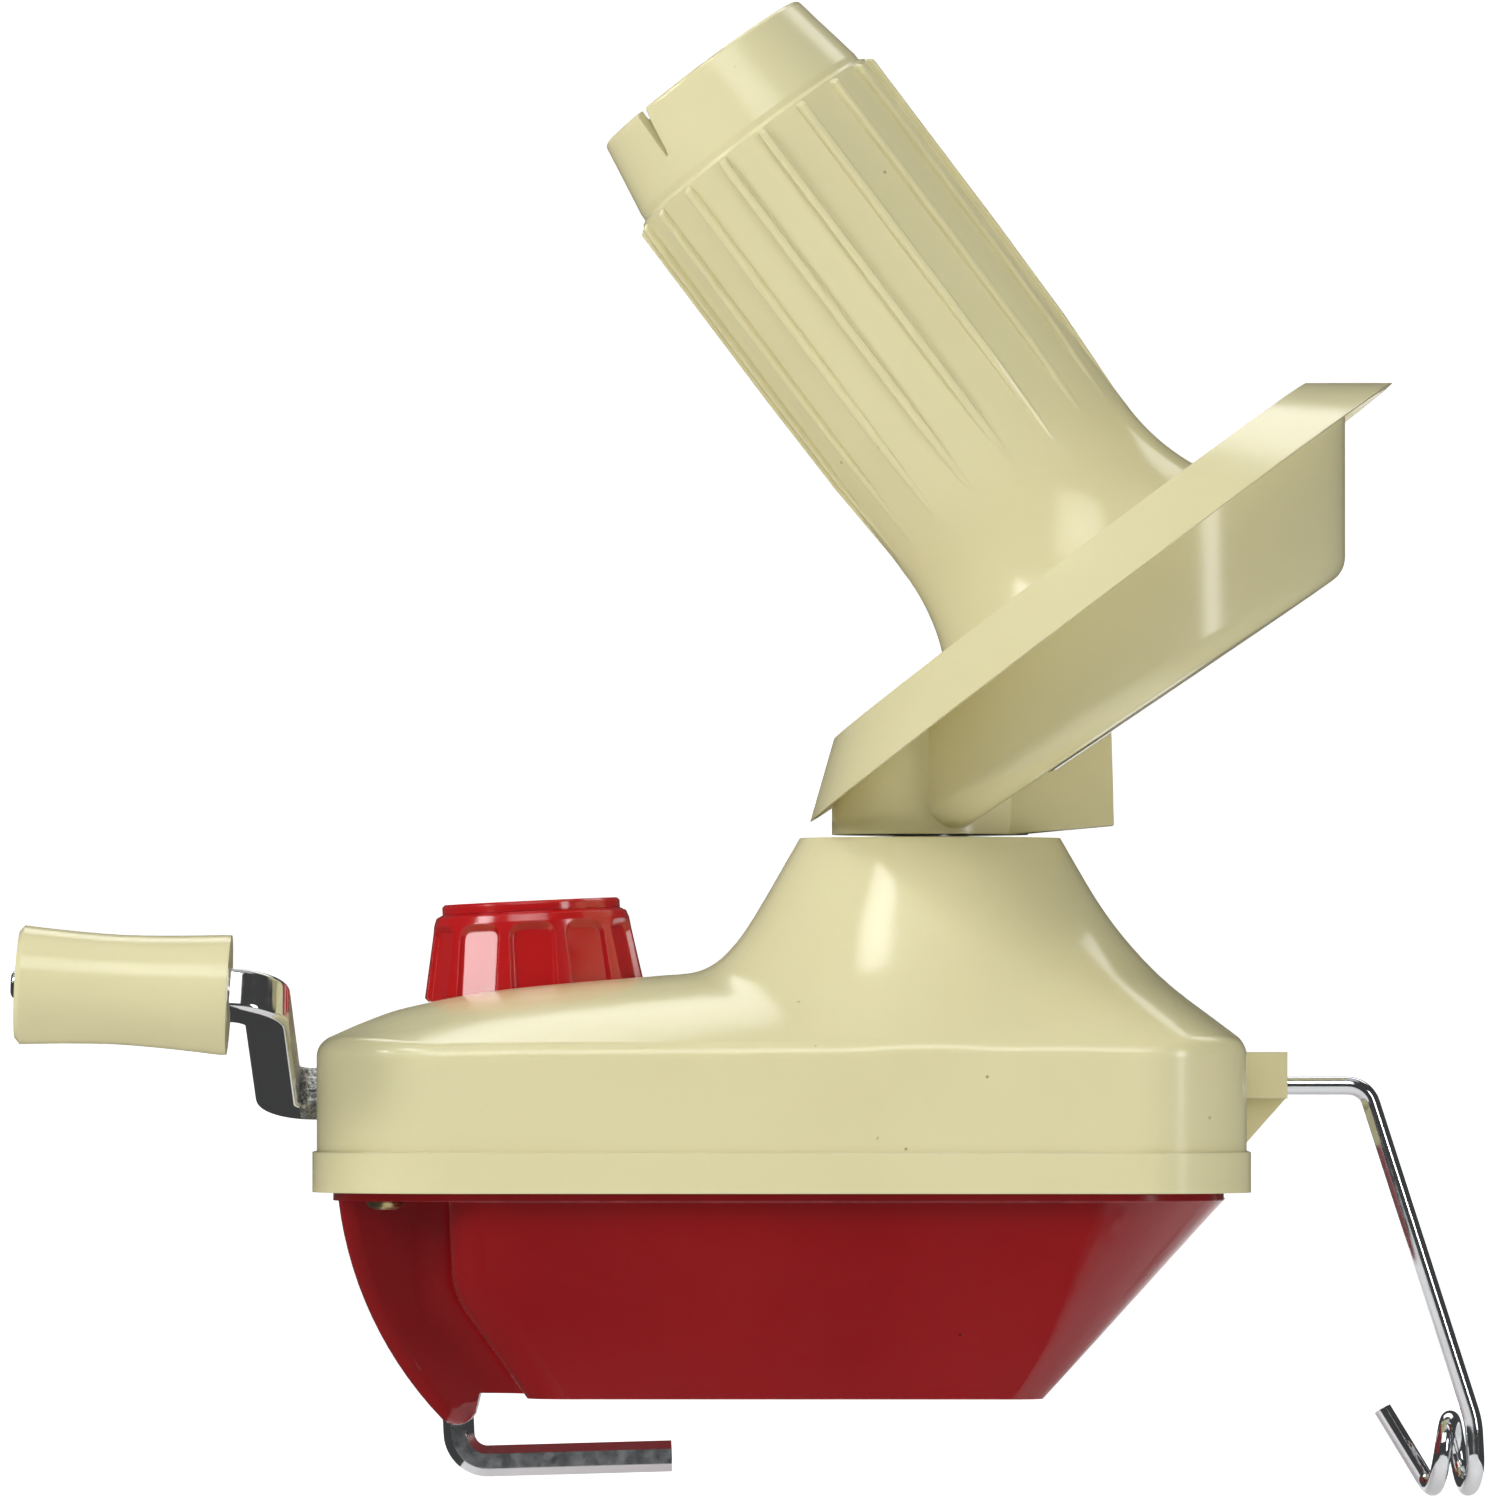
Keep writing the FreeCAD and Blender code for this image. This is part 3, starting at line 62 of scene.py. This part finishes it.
# ---------------------------------------------------------------- materials
class Shader:
    """A material with one Principled shader and a few helpers for its procedural inputs."""

    def __init__(self, name, **sockets):
        self.material = bpy.data.materials.new(name)
        self.material.use_nodes = True
        self.tree = self.material.node_tree
        self.shader = self.tree.nodes["Principled BSDF"]
        for socket, value in sockets.items():
            self.shader.inputs[socket.replace("_", " ")].default_value = value
        self.place = self.tree.nodes.new("ShaderNodeTexCoord").outputs["Object"]

    def link(self, source, target):
        self.tree.links.new(source, target)

    def noise(self, scale, detail=4.0, roughness=0.55, stretch=None):
        """Noise over the object's own coordinates, in cycles per metre."""
        texture = self.tree.nodes.new("ShaderNodeTexNoise")
        texture.inputs["Scale"].default_value = scale
        texture.inputs["Detail"].default_value = detail
        texture.inputs["Roughness"].default_value = roughness
        source = self.place
        if stretch:
            mapping = self.tree.nodes.new("ShaderNodeMapping")
            mapping.inputs["Scale"].default_value = stretch
            self.link(source, mapping.inputs["Vector"])
            source = mapping.outputs["Vector"]
        self.link(source, texture.inputs["Vector"])
        return texture.outputs["Fac"]

    def ranged(self, value, low, high, from_low=0.3, from_high=0.7):
        node = self.tree.nodes.new("ShaderNodeMapRange")
        node.inputs["From Min"].default_value = from_low
        node.inputs["From Max"].default_value = from_high
        node.inputs["To Min"].default_value = low
        node.inputs["To Max"].default_value = high
        self.link(value, node.inputs["Value"])
        return node.outputs["Result"]

    def mixed(self, factor, first, second):
        """A colour between two colours, either of which may be a socket."""
        node = self.tree.nodes.new("ShaderNodeMix")
        node.data_type = "RGBA"
        self.link(factor, node.inputs[0])
        for socket, colour in ((node.inputs[6], first), (node.inputs[7], second)):
            if isinstance(colour, tuple):
                socket.default_value = (*colour, 1.0)
            else:
                self.link(colour, socket)
        return node.outputs[2]

    def colour(self, source):
        self.link(source, self.shader.inputs["Base Color"])

    def roughness(self, source):
        self.link(source, self.shader.inputs["Roughness"])

    def math(self, operation, first, second):
        node = self.tree.nodes.new("ShaderNodeMath")
        node.operation = operation
        for socket, value in zip(node.inputs, (first, second)):
            if isinstance(value, float):
                socket.default_value = value
            else:
                self.link(value, socket)
        return node.outputs["Value"]

    def coordinate(self, axis):
        """X, Y or Z of the shaded point in the object's own frame, in metres."""
        node = self.tree.nodes.new("ShaderNodeSeparateXYZ")
        self.link(self.place, node.inputs["Vector"])
        return node.outputs[axis]

    def soft_edges(self, radius):
        """A normal that rolls over sharp edges, as a moulding's or a casting's edges do."""
        node = self.tree.nodes.new("ShaderNodeBevel")
        node.samples = 4
        node.inputs["Radius"].default_value = radius
        return node.outputs["Normal"]

    def edge_mask(self, softened):
        """1 along sharp edges, 0 on open faces."""
        geometry = self.tree.nodes.new("ShaderNodeNewGeometry")
        dot = self.tree.nodes.new("ShaderNodeVectorMath")
        dot.operation = "DOT_PRODUCT"
        self.link(softened, dot.inputs[0])
        self.link(geometry.outputs["Normal"], dot.inputs[1])
        return self.ranged(dot.outputs["Value"], 1.0, 0.0, 0.90, 0.995)

    def bump(self, height, distance, strength=1.0, normal=None):
        node = self.tree.nodes.new("ShaderNodeBump")
        node.inputs["Strength"].default_value = strength
        node.inputs["Distance"].default_value = distance
        self.link(height, node.inputs["Height"])
        if normal:
            self.link(normal, node.inputs["Normal"])
        self.link(node.outputs["Normal"], self.shader.inputs["Normal"])
        return node.outputs["Normal"]

    def rubbed(self, base, softened, worn, strength):
        """The base colour, lightened where handling has polished the edges."""
        patches = self.ranged(self.noise(90.0, 6.0, 0.7), 0.0, strength, 0.42, 0.68)
        return self.mixed(self.math("MULTIPLY", self.edge_mask(softened), patches), base, worn)

    def specked(self, base, speck, scale, size):
        """The base colour with sparse small specks of moulding dirt."""
        cells = self.tree.nodes.new("ShaderNodeTexVoronoi")
        cells.inputs["Scale"].default_value = scale
        self.link(self.place, cells.inputs["Vector"])
        dot = self.ranged(cells.outputs["Distance"], 1.0, 0.0, size * 0.6, size)
        some = self.ranged(self.noise(scale * 0.35, 1.0), 0.0, 1.0, 0.66, 0.70)
        return self.mixed(self.math("MULTIPLY", dot, some), base, speck)


def moulded(name, low, high, worn, speck, gloss, **sockets):
    """Injection-moulded gloss plastic: clouded colour, rolled edges, flow waves and fine scuffs."""
    s = Shader(name, IOR=1.5, **sockets)
    soft = s.soft_edges(MOULDED_EDGE)
    base = s.mixed(s.ranged(s.noise(22.0), 0.0, 1.0), low, high)
    base = s.specked(base, speck, 260.0, 0.10)
    s.colour(s.rubbed(base, soft, worn, 0.55))
    scuffs = s.ranged(s.noise(320.0, 6.0, 0.75), 0.0, 0.05, 0.55, 0.75)
    s.roughness(s.math("ADD", s.ranged(s.noise(60.0, 3.0), gloss - 0.02, gloss + 0.03), scuffs))
    wavy = s.bump(s.noise(34.0, 2.0), 0.00012, 0.35, soft)
    s.bump(s.noise(2600.0, 2.0), 0.000006, 0.5, wavy)
    return s


def cream_plastic():
    s = moulded("cream_moulding", (0.715, 0.662, 0.382), (0.750, 0.700, 0.417), (0.80, 0.77, 0.60),
                (0.30, 0.25, 0.14), 0.17, Coat_Weight=0.1, Coat_Roughness=0.08,
                Subsurface_Weight=0.05, Subsurface_Scale=0.003)
    s.shader.inputs["Subsurface Radius"].default_value = (1.0, 0.8, 0.45)
    return s.material


def red_plastic(name, deep, bright, gloss):
    s = moulded(name, deep, bright, (0.62, 0.10, 0.11), (0.02, 0.002, 0.003), gloss,
                Coat_Weight=0.25, Coat_Roughness=0.05)
    return s.material


def metal(name, dark, bright, low, high, grain=(60.0, 60.0, 1200.0), relief=0.000004):
    """Metal whose roughness and tone follow fine drawn or turned grain."""
    s = Shader(name, Metallic=1.0)
    lines = s.noise(1.0, 5.0, 0.6, grain)
    s.colour(s.mixed(s.ranged(lines, 0.0, 1.0), dark, bright))
    s.roughness(s.ranged(s.noise(420.0, 6.0), low, high))
    s.bump(lines, relief, 0.4, s.soft_edges(METAL_EDGE))
    return s.material


def crank_chrome():
    """Chrome plate, crimped rough on the short stretch between the elbow and the cover."""
    s = Shader("crank_chrome", Metallic=1.0)
    x = s.coordinate("X")
    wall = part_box("top_cover")[0][0]
    crimped = s.math("GREATER_THAN", x, wall - CRIMP_REACH)
    grit = s.noise(1500.0, 3.0, 0.7)
    tone = s.math("MULTIPLY", crimped, s.ranged(grit, 0.0, 1.0, 0.35, 0.6))
    s.colour(s.mixed(tone, (0.70, 0.71, 0.72), (0.16, 0.16, 0.15)))
    plate = s.ranged(s.noise(420.0, 6.0), 0.05, 0.12)
    s.roughness(s.math("ADD", plate, s.math("MULTIPLY", crimped, 0.25)))
    s.bump(s.math("MULTIPLY", crimped, grit), 0.0004, 0.9, s.soft_edges(METAL_EDGE))
    return s.material


def nylon():
    s = Shader("nylon", Subsurface_Weight=0.15, Subsurface_Scale=0.002, IOR=1.53)
    s.colour(s.mixed(s.ranged(s.noise(60.0), 0.0, 1.0), (0.72, 0.70, 0.62), (0.79, 0.77, 0.70)))
    s.roughness(s.ranged(s.noise(200.0, 5.0), 0.38, 0.5))
    s.bump(s.noise(1500.0, 3.0), 0.00001, 0.5)
    return s.material


CREAM = cream_plastic()
# Painted shade: the base is the knob's red plastic in a darker copy, so its colour carries shade
RED_BASE_SHADED = red_plastic("red_base_painted_shade", (0.225, 0.004, 0.006), (0.260, 0.006, 0.008), 0.18)
RED_KNOB = red_plastic("red_knob_moulding", (0.43, 0.007, 0.008), (0.48, 0.009, 0.011), 0.15)
CHROME = metal("chrome_plate", (0.66, 0.68, 0.70), (0.74, 0.76, 0.78), 0.05, 0.12,
               grain=(90.0, 90.0, 90.0), relief=0.000002)
CRANK_CHROME = crank_chrome()
STEEL = metal("turned_steel", (0.46, 0.46, 0.46), (0.58, 0.58, 0.58), 0.25, 0.42)
BRASS = metal("turned_brass", (0.62, 0.44, 0.16), (0.76, 0.58, 0.26), 0.2, 0.35)
ZINC = metal("yellow_zinc", (0.42, 0.34, 0.15), (0.62, 0.54, 0.30), 0.22, 0.4)
NYLON = nylon()
SLOT_MATERIALS = {"cream_plastic": CREAM, "red_plastic": RED_KNOB, "nylon": NYLON, "chrome": CHROME,
                  "steel": STEEL, "brass": BRASS, "zinc_yellow": ZINC}
# The base shell gets the darker red copy, whose colour carries painted shade
NODE_MATERIALS = {"base_shell": RED_BASE_SHADED, "crank_rod": CRANK_CHROME}


def dress_cad_nodes():
    slot_of = {row["node"]: row["material_slot"] for row in frame["record"]["subparts"]}
    for name, node in nodes.items():
        material = NODE_MATERIALS.get(name, SLOT_MATERIALS[slot_of[name]])
        node.data.materials.clear()
        node.data.materials.append(material)
        for polygon in node.data.polygons:
            polygon.material_index = 0


# ---------------------------------------------------------------- studio
def glowing_matte(name, colour, roughness=0.6):
    """Plain matte paint, with a glow that is faint in front of the object and strong behind it."""
    s = Shader(name, Emission_Color=(*colour, 1.0))
    glow = s.ranged(s.coordinate("Y"), FRONT_GLOW, BACK_GLOW, GLOW_FROM, TABLE_FAR)
    s.link(glow, s.shader.inputs["Emission Strength"])
    s.colour(s.mixed(s.ranged(s.noise(3.0), 0.0, 1.0), colour, tuple(c * 0.985 for c in colour)))
    s.roughness(s.ranged(s.noise(9.0), roughness, roughness + 0.1))
    return s.material


def sweep_profile(low):
    """(y, z) of a floor that curves up into a wall. The table is its second stretch."""
    profile = [(-ROOM_HALF, low), (TABLE_NEAR, low), (TABLE_FAR, low), (WALL_START, low)]
    for i in range(1, BEND_STEPS + 1):
        a = math.radians(90 * i / BEND_STEPS)
        profile.append((WALL_START + WALL_BEND * math.sin(a), low + WALL_BEND * (1 - math.cos(a))))
    return profile + [(WALL_START + WALL_BEND, WALL_TOP)]


def make_backdrop():
    """A pale floor and wall, in panels. Only the table, under the object, shows in reflections."""
    profile = sweep_profile(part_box("clamp_rod")[0][2] - CLAMP_TRAVEL - FLOOR_GAP)
    paint = glowing_matte("studio_white", (0.90, 0.90, 0.90))
    across = (-ROOM_HALF, TABLE_LEFT, TABLE_RIGHT, ROOM_HALF)
    for column in range(3):
        for row in range(len(profile) - 1):
            (y0, z0), (y1, z1) = profile[row], profile[row + 1]
            x0, x1 = across[column], across[column + 1]
            is_table = column == 1 and row == 1
            mesh = bpy.data.meshes.new("studio_panel")
            corners = [(x0, y0, z0), (x1, y0, z0), (x1, y1, z1), (x0, y1, z1)]
            mesh.from_pydata(corners, [], [(0, 1, 2, 3)])
            mesh.materials.append(paint)
            panel = bpy.data.objects.new("studio_table" if is_table else "studio_panel", mesh)
            panel.visible_glossy = is_table
            scene.collection.objects.link(panel)


def softbox(name, place, size, watts, spread=180):
    """A rectangular lamp aimed at the object, with its spread in degrees."""
    light = bpy.data.lights.new(name, "AREA")
    light.shape = "RECTANGLE"
    light.size, light.size_y = size
    light.energy = watts
    light.spread = math.radians(spread)
    lamp = bpy.data.objects.new(name, light)
    lamp.location = place
    lamp.rotation_euler = (Vector(STUDIO_MIDDLE) - Vector(place)).to_track_quat("-Z", "Y").to_euler()
    scene.collection.objects.link(lamp)


def make_studio():
    """Soft lamps on every side, in a room that is pale to look at but dim to reflect."""
    world = bpy.data.worlds.new("studio")
    world.use_nodes = True
    nodes_of = world.node_tree.nodes
    seen = nodes_of.new("ShaderNodeLightPath").outputs["Is Camera Ray"]
    strength = nodes_of.new("ShaderNodeMapRange")
    strength.inputs["To Min"].default_value = REFLECTED_WORLD
    strength.inputs["To Max"].default_value = SEEN_WORLD
    world.node_tree.links.new(seen, strength.inputs["Value"])
    background = nodes_of["Background"]
    background.inputs["Color"].default_value = (1.0, 1.0, 1.0, 1.0)
    world.node_tree.links.new(strength.outputs["Result"], background.inputs["Strength"])
    scene.world = world
    softbox("key", (-0.15, -0.85, 0.92), (0.9, 0.6), 1.2, 80)
    softbox("left", (-1.1, -0.5, 0.6), (0.4, 0.6), 1.6, 80)
    softbox("right", (1.2, -1.2, 0.5), (0.3, 0.9), 1.3, 80)
    softbox("window", (-0.5, -0.45, 1.1), (0.3, 0.3), 0.33, 80)
    softbox("top", (0.0, -0.1, 1.6), (1.4, 1.0), 1.1, 120)
    softbox("back", (0.2, 1.0, 1.3), (1.6, 0.6), 6)
    scene.view_settings.view_transform = "Standard"


def make_camera():
    """Almost level, a little below the object's middle, with a long lens."""
    eye_place, target = Vector(EYE), Vector(CAMERA_TARGET)
    camera = bpy.data.cameras.new("camera")
    camera.sensor_width = SENSOR_WIDTH
    camera.lens = SENSOR_WIDTH * (target - eye_place).length / VIEW_WIDTH
    camera.clip_end = 40
    eye = bpy.data.objects.new("camera", camera)
    eye.location = eye_place
    eye.rotation_euler = (target - eye_place).to_track_quat("-Z", "Y").to_euler()
    scene.collection.objects.link(eye)
    scene.camera = eye


dress_cad_nodes()
make_backdrop()
make_studio()
make_camera()
